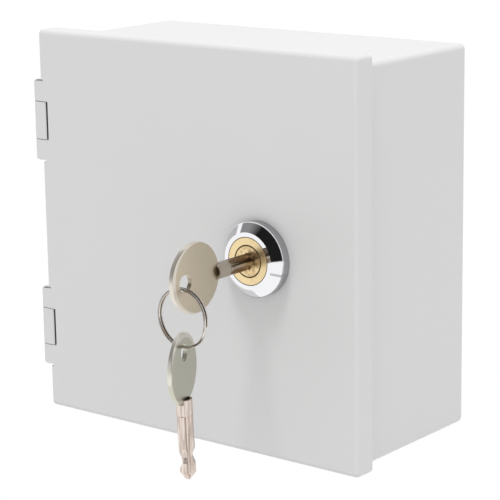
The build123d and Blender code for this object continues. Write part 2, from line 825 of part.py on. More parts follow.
def key_shank():
    """Slotted collar and four-winged blade, below the bow's middle."""
    top = -collar_from_bow
    bottom = top - collar_length
    shank = rod(collar_radius, bottom, top)
    shank = chamfer(shank.faces().sort_by(Axis.Z)[0].edges(), 0.3)
    shank -= rod(collar_bore, top - collar_bore_depth, top + 1)
    half = bow_thickness / 2 + seat_fit
    floor = top - bow_seat - seat_fit
    shank -= box_between(-half, half, -collar_radius - 1, collar_radius + 1, floor, top + 1)
    tip = -blade_length
    cone = tip + tip_length
    blade = turned([(0, tip), (0.5, tip), (blade_core, cone), (blade_core, 0), (0, 0)])
    for turn, edge in enumerate(wing_edges):
        blade += Rot(0, 0, 90 * turn) * wing(edge)
    return shank + Pos(0, 0, bottom) * blade


def in_lock(shape):
    """Lays a key along the lock's axis, standing partly out of the plug."""
    return Pos(lock_x, bow_y, lock_z) * Rot(90, 0, 0) * shape


def hanging(shape):
    """Hangs a key below the ring, its bow turned a little aside and leaning a little to the door."""
    from_hole = Pos(0, bow_hole_off_axis, -bow_hole_from_centre) * shape
    from_wire = Pos(0, 0, -wire_below_hole_centre) * Rot(0, 0, spare_yaw) * from_hole
    return Pos(ring_bottom_x, hole_y, ring_bottom_z) * Rot(spare_lean, 0, 0) * from_wire


def ring_height(angle):
    """Height of the wire's middle at an angle: flat, over the crossing, and flat again."""
    start = ring_crossing_from + 360
    end = ring_crossing_to + 360
    share = min(max((angle - start) / (end - start), 0), 1)
    lift = share * share * (3 - 2 * share)
    return (lift - 0.5) * (ring_wire_axial + ring_turn_gap)


def ring_point(angle, radius):
    """A point at an angle round the ring, in degrees, with Z along the ring's axis."""
    a = math.radians(angle)
    return Vector(radius * math.cos(a), radius * math.sin(a), ring_height(angle))


def ring_least_gap(first, last):
    """Least distance between the two turns' facing sides, measured on points of both."""
    inner = ring_radius_middle - ring_wire_radial / 2
    outer = ring_radius_middle + ring_wire_radial / 2
    half = Vector(0, 0, ring_wire_axial / 2)
    least = math.inf
    steps = int(last - first)
    for i in range(steps - 340):
        for radius in (inner, outer):
            top = ring_point(first + i, radius) + half
            for j in range(i + 340, min(i + 380, steps)):
                least = min(least, (ring_point(first + j, radius) - half - top).length)
    return least


def key_ring():
    """Split ring: one flat wire in two turns, which crosses from one turn to the next."""
    first = ring_crossing_to + ring_end_margin
    last = ring_crossing_from - ring_end_margin + 720
    count = 96
    angles = [first + (last - first) * i / count for i in range(count + 1)]
    path = Spline([ring_point(a, ring_radius_middle) for a in angles])
    guide = Spline([ring_point(a, ring_radius_middle / 2) for a in angles])
    outward = ring_point(first, 1) - Vector(0, 0, ring_height(first))
    start = Plane(origin=path @ 0, x_dir=outward, z_dir=path % 0)
    ring = sweep(start * Rectangle(ring_wire_radial, ring_wire_axial), path=path, binormal=guide)
    print("key ring: least gap between its turns", round(ring_least_gap(first, last), 2), "mm")
    hung = Pos(0, 0, -ring_radius_middle) * Rot(90, 0, 0) * ring
    return Pos(lock_x, hole_y, ring_top_z) * Rot(0, ring_lean, 0) * hung


parts = {
    "body_shell": body_shell(),
    "upper_hinge_leaf": hinge_leaf(upper_hinge_z),
    "lower_hinge_leaf": hinge_leaf(lower_hinge_z),
    "cable_grommet_left": cable_grommet(-entry_spacing / 2),
    "cable_grommet_right": cable_grommet(entry_spacing / 2),
    "earth_stud": earth_stud(),
    "earth_washer": earth_washer(),
    "earth_nut": earth_nut(),
    "plate_studs": plate_studs(),
    "mounting_plate": mounting_plate(),
    "plate_nuts": plate_nuts(),
    "socket_base": socket_base(),
    "socket_cover": socket_cover(),
    "socket_contacts": socket_contacts(),
    "socket_earth_clip": socket_earth_clip(),
    "socket_cover_screw": socket_cover_screw(),
    "socket_base_screws": socket_base_screws(),
    "socket_base_nuts": socket_base_nuts(),
    "door_panel": door_panel(),
    "door_gasket": door_gasket(),
    "upper_hinge_pin": hinge_pin(upper_hinge_z),
    "lower_hinge_pin": hinge_pin(lower_hinge_z),
    "lock_housing": lock_housing(),
    "lock_seal_washer": lock_seal_washer(),
    "lock_tooth_washer": lock_tooth_washer(),
    "lock_nut": lock_nut(),
    "lock_barrel": lock_barrel(),
    "driver_pins": driver_pins(),
    "driver_springs": driver_springs(),
    "lock_plug": lock_plug(),
    "tumbler_pins": tumbler_pins(),
    "lock_cam": lock_cam(),
    "cam_washer": cam_washer(),
    "cam_screw": cam_screw(),
    "key_bow": in_lock(key_bow()),
    "key_shank": in_lock(key_shank()),
    "key_ring": key_ring(),
    "spare_key_bow": hanging(key_bow()),
    "spare_key_shank": hanging(key_shank()),
}

os.makedirs("parts", exist_ok=True)
for name, shape in parts.items():
    export_step(shape, f"parts/{name}.step")
print(len(parts), "parts written")
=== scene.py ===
import json
import logging
import math
from dataclasses import dataclass
from enum import Enum
from typing import Any, Iterable, Sequence

import bpy
from mathutils import Matrix, Vector

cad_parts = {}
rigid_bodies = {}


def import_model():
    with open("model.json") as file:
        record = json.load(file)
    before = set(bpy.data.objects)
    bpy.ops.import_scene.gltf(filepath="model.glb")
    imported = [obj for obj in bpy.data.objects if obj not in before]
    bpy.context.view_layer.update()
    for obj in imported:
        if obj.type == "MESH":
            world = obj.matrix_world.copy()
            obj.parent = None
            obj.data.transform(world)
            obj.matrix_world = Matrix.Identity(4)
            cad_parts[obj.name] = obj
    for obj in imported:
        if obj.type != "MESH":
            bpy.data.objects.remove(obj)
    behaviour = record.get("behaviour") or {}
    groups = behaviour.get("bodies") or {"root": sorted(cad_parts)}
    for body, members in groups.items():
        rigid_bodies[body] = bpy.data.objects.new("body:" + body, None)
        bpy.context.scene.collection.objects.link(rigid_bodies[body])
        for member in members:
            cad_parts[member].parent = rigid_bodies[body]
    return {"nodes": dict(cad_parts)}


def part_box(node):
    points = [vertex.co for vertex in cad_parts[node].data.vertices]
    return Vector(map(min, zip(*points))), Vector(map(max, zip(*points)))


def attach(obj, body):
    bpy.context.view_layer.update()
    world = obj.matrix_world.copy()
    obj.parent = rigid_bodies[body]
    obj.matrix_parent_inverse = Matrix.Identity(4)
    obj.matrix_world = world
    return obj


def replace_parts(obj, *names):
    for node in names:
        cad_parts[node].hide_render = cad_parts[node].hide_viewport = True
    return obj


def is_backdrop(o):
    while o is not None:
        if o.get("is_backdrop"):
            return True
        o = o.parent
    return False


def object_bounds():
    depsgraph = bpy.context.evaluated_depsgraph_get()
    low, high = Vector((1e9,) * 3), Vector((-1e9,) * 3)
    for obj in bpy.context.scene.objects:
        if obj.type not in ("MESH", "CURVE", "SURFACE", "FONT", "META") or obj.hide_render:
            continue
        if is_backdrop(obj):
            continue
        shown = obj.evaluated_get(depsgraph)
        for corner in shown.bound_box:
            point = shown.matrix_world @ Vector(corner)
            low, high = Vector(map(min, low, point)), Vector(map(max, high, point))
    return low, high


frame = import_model()

log = logging.getLogger("outlet_box")
MM = 0.001
Pair = tuple[float, float]
Triple = tuple[float, float, float]
Box = tuple[Triple, Triple]


# Shader graphs


class Op(Enum):
    """Maths that one Math node does."""

    ADD = "ADD"
    SUBTRACT = "SUBTRACT"
    MULTIPLY = "MULTIPLY"
    DIVIDE = "DIVIDE"
    MINIMUM = "MINIMUM"
    MAXIMUM = "MAXIMUM"
    SINE = "SINE"
    COSINE = "COSINE"
    ABSOLUTE = "ABSOLUTE"
    ROOT = "SQRT"
    FRACTION = "FRACT"


class Wire:
    """A value travelling through a shader graph; Python's operators add its Math nodes."""

    def __init__(self, graph: "Graph", socket: bpy.types.NodeSocket) -> None:
        """Wrap an output socket of the graph."""
        self.graph = graph
        self.socket = socket

    def maths(
        self, op: Op, other: "Wire | float | None" = None, swap: bool = False
    ) -> "Wire":
        """Add one Math node.

        Args:
            op: what the node does.
            other: its second value, where it takes one.
            swap: puts the second value first.

        Returns:
            The node's result.
        """
        values = [self] if other is None else [self, other]
        if swap:
            values.reverse()
        return self.graph.node("Math", values, operation=op.value)

    def __add__(self, other: "Wire | float") -> "Wire":
        """Sum."""
        return self.maths(Op.ADD, other)

    def __sub__(self, other: "Wire | float") -> "Wire":
        """Difference."""
        return self.maths(Op.SUBTRACT, other)

    def __rsub__(self, other: float) -> "Wire":
        """Difference with the value on the right."""
        return self.maths(Op.SUBTRACT, other, swap=True)

    def __mul__(self, other: "Wire | float") -> "Wire":
        """Product."""
        return self.maths(Op.MULTIPLY, other)

    def __truediv__(self, other: "Wire | float") -> "Wire":
        """Quotient."""
        return self.maths(Op.DIVIDE, other)

    __radd__ = __add__

    def clamp(self) -> "Wire":
        """The value kept between 0 and 1."""
        return self.maths(Op.MINIMUM, 1.0).maths(Op.MAXIMUM, 0.0)

    def step(self, low: float, high: float) -> "Wire":
        """0 up to low, 1 from high on and a straight rise between (low may be the larger)."""
        return ((self - low) / (high - low)).clamp()


class Graph:
    """Builds one node tree: a material's, the world's or a grown piece's."""

    def __init__(self, tree: bpy.types.NodeTree) -> None:
        """Start from an empty tree."""
        self.tree = tree
        tree.nodes.clear()

    def node(
        self,
        kind: str,
        inputs: "Sequence[Any] | dict[str, Any]" = (),
        output: "int | str" = 0,
        **settings: Any,
    ) -> "Wire | None":
        """Add a node.

        Args:
            kind: the node's type, which for a shader node goes without ShaderNode.
            inputs: values or wires for its sockets, in order or by name.
            output: which of its outputs to return.
            settings: the node's own properties, set before its inputs.

        Returns:
            The chosen output, or nothing from a node that ends a graph.
        """
        made = self.tree.nodes.new(kind if "Node" in kind else "ShaderNode" + kind)
        for key, value in settings.items():
            setattr(made, key, value)
        pairs = inputs.items() if isinstance(inputs, dict) else enumerate(inputs)
        for key, value in pairs:
            self.plug(made.inputs[key], value)
        return Wire(self, made.outputs[output]) if len(made.outputs) else None

    def plug(self, socket: bpy.types.NodeSocket, value: Any) -> None:
        """Link a wire to a socket, or set a plain value on it."""
        if isinstance(value, Wire):
            self.tree.links.new(value.socket, socket)
        elif isinstance(value, tuple) and len(value) == 3 and socket.type == "RGBA":
            socket.default_value = (*value, 1.0)
        else:
            socket.default_value = value

    def place(self) -> Wire:
        """Object coordinates, in metres."""
        return self.node("TexCoord", output="Object")

    def mapped(self, origin: Triple = (0, 0, 0), scale: Triple = (1, 1, 1)) -> Wire:
        """Object coordinates measured from a point, then scaled."""
        centred = self.node("VectorMath", [self.place(), origin], operation="SUBTRACT")
        return self.node("Mapping", {"Vector": centred, "Scale": scale})

    def noise(
        self,
        cell: float,
        detail: float = 2.0,
        vector: "Wire | None" = None,
        rough: float = 0.5,
    ) -> Wire:
        """Noise whose blobs are about one cell wide, in metres."""
        source = vector or self.place()
        values = {"Vector": source, "Scale": 1.0 / cell, "Detail": detail, "Roughness": rough}
        return self.node("TexNoise", values)

    def drawn(self, along: Triple, squeeze: float) -> Wire:
        """Object coordinates that draw a pattern out along the axes marked with 1."""
        return self.mapped(scale=tuple(squeeze if a > 0.5 else 1.0 for a in along))

    def axis(self, name: str, vector: "Wire | None" = None) -> Wire:
        """One coordinate of a vector, of the object's own where none is given."""
        return self.node("SeparateXYZ", [vector or self.place()], output=name)

    def radius(self, origin: Triple) -> Wire:
        """Distance from an axis along Y through a point."""
        centred = self.mapped(origin)
        across = self.axis("X", centred)
        up = self.axis("Z", centred)
        return (across * across + up * up).maths(Op.ROOT)

    def distance(self, origin: Triple) -> Wire:
        """Distance from a point."""
        centred = self.mapped(origin)
        return self.node("VectorMath", [centred], output="Value", operation="LENGTH")

    def inside(self, low: Triple, high: Triple) -> Wire:
        """1 inside a box, 0 outside it."""
        soft = 0.05 * MM
        share: "Wire | float" = 1.0
        for name, least, most in zip("XYZ", low, high):
            place = self.axis(name)
            share = place.step(least, least + soft) * place.step(most, most - soft) * share
        return share

    def thread(self, pitch: float, start: float) -> Wire:
        """Height of thread crests across Y, from a depth on; flat in front of it."""
        along = self.axis("Y")
        crest = ((along / pitch).maths(Op.FRACTION) - 0.5).maths(Op.ABSOLUTE) * 2.0
        return crest * along.step(start, start + 0.1 * pitch)

    def mix(self, share: "Wire | float", first: Any, second: Any) -> Wire:
        """A colour between two others."""
        values = {0: share, 6: first, 7: second}
        return self.node("Mix", values, output=2, data_type="RGBA")

    def bump(self, height: Wire, depth: float, normal: "Wire | None" = None) -> Wire:
        """A surface normal from a height of 0 to 1 that stands for a depth in metres."""
        values: dict[str, Any] = {"Height": height, "Strength": 1.0, "Distance": depth}
        if normal is not None:
            values["Normal"] = normal
        return self.node("Bump", values)

    def rays(self) -> tuple[Wire, ...]:
        """Whether a ray comes from the camera, from a reflection, or through something clear."""
        kinds = ("Camera", "Glossy", "Transmission")
        return tuple(self.node("LightPath", output=f"Is {kind} Ray") for kind in kinds)

    def finish(self, values: dict[str, Any]) -> None:
        """Close a material with one Principled shader."""
        shader = self.node("BsdfPrincipled", values)
        self.node("OutputMaterial", {"Surface": shader})


class Growth(Graph):
    """Builds one Geometry Nodes tree and turns what it makes into a plain mesh."""

    def __init__(self, name: str) -> None:
        """Start a tree with one geometry output and no inputs yet."""
        super().__init__(bpy.data.node_groups.new(name, "GeometryNodeTree"))
        self.name = name
        self.sizes: dict[str, float] = {}
        self.tree.interface.new_socket(
            "Geometry", in_out="OUTPUT", socket_type="NodeSocketGeometry"
        )
        self.entry = self.tree.nodes.new("NodeGroupInput")

    def size(self, name: str, value: float) -> Wire:
        """Add a named input and the value that the modifier gives it."""
        item = self.tree.interface.new_socket(
            name, in_out="INPUT", socket_type="NodeSocketFloat"
        )
        self.sizes[item.identifier] = value
        return Wire(self, self.entry.outputs[name])

    def vector(self, x: Any = 0.0, y: Any = 0.0, z: Any = 0.0) -> Wire:
        """A vector from three numbers or wires."""
        return self.node("CombineXYZ", [x, y, z])

    def moved(
        self,
        shape: Wire,
        shift: Any = (0, 0, 0),
        turn: Triple = (0, 0, 0),
        scale: Any = (1, 1, 1),
    ) -> Wire:
        """A shape scaled, turned (in degrees) and shifted."""
        angles = tuple(math.radians(a) for a in turn)
        values = {"Geometry": shape, "Translation": shift, "Rotation": angles, "Scale": scale}
        return self.node("GeometryNodeTransform", values)

    def along(self) -> Wire:
        """Where a point lies on its curve, from 0 to 1."""
        return self.node("GeometryNodeSplineParameter", output="Factor")

    def path(self, points: int, position: Wire) -> Wire:
        """A curve of so many points at positions that follow a rule."""
        line = self.node("GeometryNodeCurvePrimitiveLine")
        values = {"Curve": line, "Count": points}
        fine = self.node("GeometryNodeResampleCurve", values, mode="COUNT")
        placed = self.node("GeometryNodeSetPosition", {"Geometry": fine, "Position": position})
        return self.node("GeometryNodeSetCurveNormal", {"Curve": placed}, mode="Z_UP")

    def swept(self, path: Wire, sides: int, across: Any, up: Any) -> Wire:
        """A wire with an oval section along a path, closed at its ends."""
        ring = {"Resolution": sides, "Radius": 0.5}
        circle = self.node("GeometryNodeCurvePrimitiveCircle", ring)
        oval = self.moved(circle, scale=self.vector(across, up, 1.0))
        values = {"Curve": path, "Profile Curve": oval, "Fill Caps": True}
        return self.node("GeometryNodeCurveToMesh", values)

    def corners(
        self, shape: Wire, width: Wire, height: Wire, centre: Triple, turn: Triple
    ) -> Wire:
        """A shape at the corners of a rectangle about a point, turned (in degrees) from level."""
        grid = self.node("GeometryNodeMeshGrid", [width, height, 2, 2])
        spots = self.moved(grid, centre, turn)
        return self.node("GeometryNodeInstanceOnPoints", {"Points": spots, "Instance": shape})

    def grow(
        self, shape: Wire, material: bpy.types.Material, body: str, slot: str
    ) -> bpy.types.Object:
        """Turn the tree's result into a plain mesh that rides on a body.

        Args:
            shape: the tree's last geometry.
            material: the finish on all of it.
            body: the CAD body that it moves with.
            slot: the record's material slot that it belongs to; not used.

        Returns:
            The finished object.
        """
        real = self.node("GeometryNodeRealizeInstances", [shape])
        done = self.node("GeometryNodeSetMaterial", {"Geometry": real, "Material": material})
        self.plug(self.tree.nodes.new("NodeGroupOutput").inputs[0], done)
        scene = bpy.context.scene.collection.objects
        seed = bpy.data.objects.new(self.name + "_tree", bpy.data.meshes.new(self.name + "_seed"))
        scene.link(seed)
        modifier = seed.modifiers.new("grow", "NODES")
        modifier.node_group = self.tree
        for key, value in self.sizes.items():
            modifier[key] = value
        grown = seed.evaluated_get(bpy.context.evaluated_depsgraph_get())
        mesh = bpy.data.meshes.new_from_object(grown)
        bpy.data.objects.remove(seed)
        mesh.polygons.foreach_set("use_smooth", [True] * len(mesh.polygons))
        made = bpy.data.objects.new(self.name, mesh)
        scene.link(made)
        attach(made, body)
        log.info("%s: %d faces", self.name, len(mesh.polygons))
        return made


def new_material(name: str) -> tuple[bpy.types.Material, Graph]:
    """An empty material and the graph that fills it."""
    material = bpy.data.materials.new(name)
    material.use_nodes = True
    return material, Graph(material.node_tree)


def shade(colour: Triple, factor: float) -> Triple:
    """A colour made lighter or darker."""
    return tuple(min(1.0, c * factor) for c in colour)


# Finishes


@dataclass(frozen=True)
class PowderCoat:
    """Baked powder paint on sheet steel, with a faint orange peel and painted shade in given gaps.
    """

    name: str = "pale_powder_coat"
    colour: Triple = (0.735, 0.735, 0.735)
    roughness: float = 0.42
    specular: float = 0.42
    peel_cell: float = 1.3 * MM
    peel_depth: float = 0.009 * MM
    cloud_cell: float = 38 * MM
    cloud_tones: Pair = (0.992, 1.008)
    speck_cell: float = 0.35 * MM
    speck_band: Pair = (0.66, 0.74)
    speck_share: float = 0.35
    speck_tone: float = 0.955
    joints: tuple[Box, ...] = ()
    gap_shade_share: float = 0.95
    gap_shade: Triple = (0.02, 0.02, 0.02)

    def build(self) -> bpy.types.Material:
        """The finish as a material."""
        material, g = new_material(self.name)
        peel = g.noise(self.peel_cell, 1.5)
        cloud = g.noise(self.cloud_cell)
        speck = g.noise(self.speck_cell, 1.0).step(*self.speck_band)
        tone = g.mix(cloud, *(shade(self.colour, factor) for factor in self.cloud_tones))
        tone = g.mix(speck * self.speck_share, tone, shade(self.colour, self.speck_tone))
        # painted shade: the colour inside each gap box goes near black
        for low, high in self.joints:
            tone = g.mix(g.inside(low, high) * self.gap_shade_share, tone, self.gap_shade)
        g.finish(
            {
                "Base Color": tone,
                "Roughness": self.roughness + (peel - 0.5) * 0.10 + (cloud - 0.5) * 0.05,
                "Specular IOR Level": self.specular,
                "Normal": g.bump(peel, self.peel_depth),
            }
        )
        return material


@dataclass(frozen=True)
class Chrome:
    """Polished chrome plate on a turned piece about an axis along Y.

    The cylindrical side has painted shade, and the edge between it and the faces has a painted
    dark reflection below and a painted highlight above.
    """

    axis: Triple
    rim: float
    thread_from: float
    name: str = "bright_chrome"
    colour: Triple = (0.84, 0.84, 0.86)
    haze_cell: float = 4.5 * MM
    haze_tone: float = 0.96
    pit_cell: float = 0.5 * MM
    pit_band: Pair = (0.70, 0.78)
    polish_cell: float = 1.6 * MM
    polish_depth: float = 0.0006 * MM
    roughness: float = 0.03
    side_from: Pair = (0.10 * MM, 0.05 * MM)
    side_shade_colour: Triple = (0.30, 0.30, 0.31)
    side_shade_share: float = 0.68
    edge_from: Pair = (0.42 * MM, 0.26 * MM)
    edge_shade_colour: Triple = (0.12, 0.12, 0.13)
    edge_shade_share: float = 0.72
    lit_colour: Triple = (0.88, 0.88, 0.90)
    lit_fade: float = 1.0 * MM
    thread_pitch: float = 1.0 * MM
    thread_depth: float = 0.28 * MM

    def build(self) -> bpy.types.Material:
        """The finish as a material."""
        material, g = new_material(self.name)
        radius = g.radius(self.axis)
        side = radius.step(*(self.rim - inset for inset in self.side_from))
        edge = radius.step(*(self.rim - inset for inset in self.edge_from)) * (1.0 - side)
        middle = self.axis[2]
        lit = edge * g.axis("Z").step(middle - self.lit_fade, middle + self.lit_fade)
        haze = g.noise(self.haze_cell, 3.0)
        tone = g.mix(haze, self.colour, shade(self.colour, self.haze_tone))
        # painted shade on the side, a painted dark reflection along the edge, and a painted
        # highlight on the edge's upper half
        tone = g.mix(side * self.side_shade_share, tone, self.side_shade_colour)
        tone = g.mix(edge * self.edge_shade_share, tone, self.edge_shade_colour)
        tone = g.mix(lit, tone, self.lit_colour)
        pits = g.noise(self.pit_cell, 1.0).step(*self.pit_band)
        polish = g.bump(g.noise(self.polish_cell), self.polish_depth)
        thread = g.thread(self.thread_pitch, self.thread_from)
        g.finish(
            {
                "Base Color": tone,
                "Metallic": 1.0 - lit * 0.85,
                "Roughness": self.roughness + haze * 0.03 + pits * 0.06,
                "Normal": g.bump(thread, self.thread_depth, polish),
            }
        )
        return material


@dataclass(frozen=True)
class TurnedBrass:
    """Brass with the fine rings that a lathe leaves about an axis along Y.

    Darker blotches gather towards the axis, and painted shade darkens the gap lines with the next
    piece.
    """

    name: str
    axis: Triple
    colour: Triple = (0.93, 0.73, 0.40)
    ring_pitch: float = 0.16 * MM
    ring_depth: float = 0.0022 * MM
    wobble: float = 5.0
    wobble_cell: float = 1.8 * MM
    tarnish: float = 0.5
    tarnish_cell: float = 2.6 * MM
    tarnish_band: Pair = (0.52, 0.78)
    tarnish_colour: Triple = (0.70, 0.47, 0.20)
    grain_cell: float = 0.45 * MM
    bright_band: Pair = (0.42, 0.66)
    bright_share: float = 0.42
    bright_colour: Triple = (0.99, 0.88, 0.64)
    blotch_radii: Pair = (6.5 * MM, 2.5 * MM)
    blotch_cell: float = 1.5 * MM
    blotch_band: Pair = (0.44, 0.58)
    blotch_share: float = 0.72
    blotch_colour: Triple = (0.20, 0.09, 0.03)
    joints: tuple[float, ...] = ()
    gap_shade_width: float = 0.32 * MM
    gap_shade_share: float = 0.92
    gap_shade_colour: Triple = (0.06, 0.035, 0.012)

    def gap_shade(self, radius: Wire) -> "Wire | float":
        """1 on the gap lines, where shade is painted, and 0 away from them."""
        painted_dark: "Wire | float" = 0.0
        for place in self.joints:
            away = (radius - place).maths(Op.ABSOLUTE)
            line = away.step(self.gap_shade_width, 0.6 * self.gap_shade_width)
            painted_dark = line.maths(Op.MAXIMUM, painted_dark)
        return painted_dark

    def build(self) -> bpy.types.Material:
        """The finish as a material."""
        material, g = new_material(self.name)
        radius = g.radius(self.axis)
        turns = radius * (math.tau / self.ring_pitch) + g.noise(self.wobble_cell) * self.wobble
        rings = turns.maths(Op.SINE) * 0.5 + 0.5
        grain = g.noise(self.grain_cell)
        bright = grain.step(*self.bright_band) * self.bright_share
        stain = g.noise(self.tarnish_cell, 3.0, rough=0.6).step(*self.tarnish_band)
        # darker brown blotches, strongest near the axis
        blotch = g.noise(self.blotch_cell, 3.0).step(*self.blotch_band) * radius.step(*self.blotch_radii)
        painted_dark = self.gap_shade(radius)
        tone = g.mix(stain * self.tarnish, self.colour, self.tarnish_colour)
        tone = g.mix(bright, tone, self.bright_colour)
        tone = g.mix(blotch * self.blotch_share, tone, self.blotch_colour)
        # painted shade on the gap lines between plug, barrel and rosette
        tone = g.mix(painted_dark * self.gap_shade_share, tone, self.gap_shade_colour)
        g.finish(
            {
                "Base Color": tone,
                "Metallic": 1.0,
                "Roughness": 0.27 + grain * 0.12 + stain * 0.10 + painted_dark * 0.3,
                "Normal": g.bump(rings * 0.6 + grain * 0.4, self.ring_depth),
            }
        )
        return material


@dataclass(frozen=True)
class PlatedMetal:
    """Stamped or turned metal under a thin plate, scratched along one direction.

    A used blade has brown streaks the same way, from a Y on, and its bore before that is painted
    lighter and less metallic, as painted light in the hollow. A disc, given by its centre and
    radius, has a painted highlight on its rim.
    """

    name: str
    colour: Triple
    roughness: float = 0.28
    scratch_along: Triple = (0, 0, 1)
    cell: float = 0.22 * MM
    scratch_squeeze: float = 0.08
    depth: float = 0.0015 * MM
    mottle: float = 0.06
    mottle_cell: float = 3.2 * MM
    streaks: float = 0.0
    streaks_from: float = -1.0
    streak_cell: float = 0.55 * MM
    streak_squeeze: float = 0.04
    streak_band: Pair = (0.60, 0.46)
    streak_colour: Triple = (0.17, 0.10, 0.055)
    axis: Triple = (0, 0, 0)
    bore: float = 0.0
    bore_beyond: Pair = (0.15 * MM, 0.05 * MM)
    bore_light_colour: Triple = (0.62, 0.56, 0.47)
    disc: tuple[Triple, float] | None = None
    rim_inset: Pair = (0.30 * MM, 0.18 * MM)
    rim_highlight_share: float = 0.5
    rim_highlight_colour: Triple = (0.92, 0.88, 0.83)

    def build(self) -> bpy.types.Material:
        """The finish as a material."""
        material, g = new_material(self.name)
        lines = g.noise(self.cell, 2.0, g.drawn(self.scratch_along, self.scratch_squeeze))
        cloud = g.noise(self.mottle_cell, 3.0, rough=0.6)
        dark, light = (shade(self.colour, 1.0 + sign * self.mottle) for sign in (-1.0, 1.0))
        tone = g.mix(cloud, dark, light)
        rough = self.roughness + (lines - 0.5) * 0.16 + (cloud - 0.5) * 0.10
        metal: "Wire | float" = 1.0
        if self.streaks:
            beyond = g.axis("Y").step(self.streaks_from, self.streaks_from + 1.0 * MM)
            drawn = g.drawn(self.scratch_along, self.streak_squeeze)
            streak = g.noise(self.streak_cell, 2.0, drawn).step(*self.streak_band) * beyond
            tone = g.mix(streak * self.streaks, tone, self.streak_colour)
            # painted light in the bore: a lighter, less metallic colour where the hollow renders
            # dark
            hollow = g.radius(self.axis).step(*(self.bore + more for more in self.bore_beyond))
            bore_light = hollow * (1.0 - beyond)
            tone = g.mix(bore_light, tone, self.bore_light_colour)
            metal = 1.0 - bore_light * 0.9
            rough = rough + bore_light * 0.25
        if self.disc:
            centre, size = self.disc
            # painted highlight along the disc's rim
            rim = g.distance(centre).step(*(size - inset for inset in self.rim_inset))
            tone = g.mix(rim * self.rim_highlight_share, tone, self.rim_highlight_colour)
            metal = 1.0 - rim * 0.22
        g.finish(
            {
                "Base Color": tone,
                "Metallic": metal,
                "Roughness": rough,
                "Normal": g.bump(lines, self.depth),
            }
        )
        return material


@dataclass(frozen=True)
class SpringWire:
    """Plated wire of a split ring about an axis along Y, with painted shade between its turns and
    painted dark reflections on its outer edges.
    """

    middle: float
    name: str = "ring_plate"
    colour: Triple = (0.78, 0.745, 0.70)
    roughness: float = 0.17
    between: Pair = (0.46 * MM, 0.26 * MM)
    outside: Pair = (0.78 * MM, 0.96 * MM)
    outside_share: float = 0.75
    rub_cell: float = 0.8 * MM
    rub_band: Pair = (0.20, 0.45)
    wire_shade: Triple = (0.16, 0.11, 0.075)
    wire_shade_share: float = 0.85

    def build(self) -> bpy.types.Material:
        """The finish as a material."""
        material, g = new_material(self.name)
        away = (g.axis("Y") - self.middle).maths(Op.ABSOLUTE)
        # painted shade between the two turns and painted dark reflections on the outer edges,
        # broken up by noise
        outside = away.step(*self.outside) * self.outside_share
        rub = g.noise(self.rub_cell)
        painted_dark = away.step(*self.between).maths(Op.MAXIMUM, outside) * rub.step(*self.rub_band)
        g.finish(
            {
                "Base Color": g.mix(painted_dark * self.wire_shade_share, self.colour, self.wire_shade),
                "Metallic": 1.0,
                "Roughness": self.roughness + rub * 0.08 + painted_dark * 0.25,
            }
        )
        return material


@dataclass(frozen=True)
class Moulded:
    """Moulded plastic or rubber with a fine spark-eroded grain."""

    name: str
    colour: Triple
    roughness: float = 0.45
    cell: float = 0.4 * MM
    broad_cell: float = 9 * MM
    depth: float = 0.006 * MM

    def build(self) -> bpy.types.Material:
        """The finish as a material."""
        material, g = new_material(self.name)
        fine = g.noise(self.cell)
        broad = g.noise(self.broad_cell, 3.0)
        g.finish(
            {
                "Base Color": g.mix(broad, shade(self.colour, 0.94), shade(self.colour, 1.06)),
                "Roughness": self.roughness + (fine - 0.5) * 0.16 + (broad - 0.5) * 0.08,
                "Normal": g.bump(fine, self.depth),
            }
        )
        return material


@dataclass(frozen=True)
class CellFoam:
    """Closed-cell foam strip: soft, matt and pricked all over with small cells."""

    name: str = "foam_strip"
    colour: Triple = (0.028, 0.028, 0.030)
    specular: float = 0.25
    cell: float = 0.5 * MM
    pit_band: Pair = (0.05, 0.45)
    depth: float = 0.05 * MM

    def build(self) -> bpy.types.Material:
        """The finish as a material."""
        material, g = new_material(self.name)
        values = {"Vector": g.place(), "Scale": 1.0 / self.cell}
        pit = g.node("TexVoronoi", values, output="Distance").step(*self.pit_band)
        g.finish(
            {
                "Base Color": g.mix(pit, shade(self.colour, 0.5), shade(self.colour, 1.5)),
                "Roughness": 0.85 + pit * 0.1,
                "Specular IOR Level": self.specular,
                "Normal": g.bump(pit, self.depth),
            }
        )
        return material


# Dressing


def dress(nodes: Iterable[str], material: bpy.types.Material) -> None:
    """Give CAD nodes a material in every slot."""
    for name in nodes:
        mesh = frame["nodes"][name].data
        mesh.materials.clear()
        mesh.materials.append(material)


def middle(name: str) -> Triple:
    """The centre of a CAD node's box."""
    low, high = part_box(name)
    return tuple((low + high) / 2)


@dataclass(frozen=True)
class Thread:
    """Sizes of an external thread along Y, from the tip of a rod inwards."""

    radius: float
    pitch: float
    length: float
    ridge: float = 0.34 * MM
    points_per_turn: int = 28
    sides: int = 4


def thread_ridge(g: Growth, thread: Thread) -> Wire:
    """A helical ridge round a rod whose tip is at the origin.

    Args:
        g: the tree that it is added to.
        thread: its sizes.

    Returns:
        The ridge's geometry.
    """
    radius = g.size("Radius", thread.radius)
    length = g.size("Length", thread.length)
    ridge = g.size("Ridge", thread.ridge)
    turns = thread.length / thread.pitch
    angle = g.along() * (math.tau * turns)
    x = angle.maths(Op.COSINE) * radius
    z = angle.maths(Op.SINE) * radius
    path = g.path(int(thread.points_per_turn * turns), g.vector(x, g.along() * length, z))
    return g.swept(path, thread.sides, ridge, ridge)


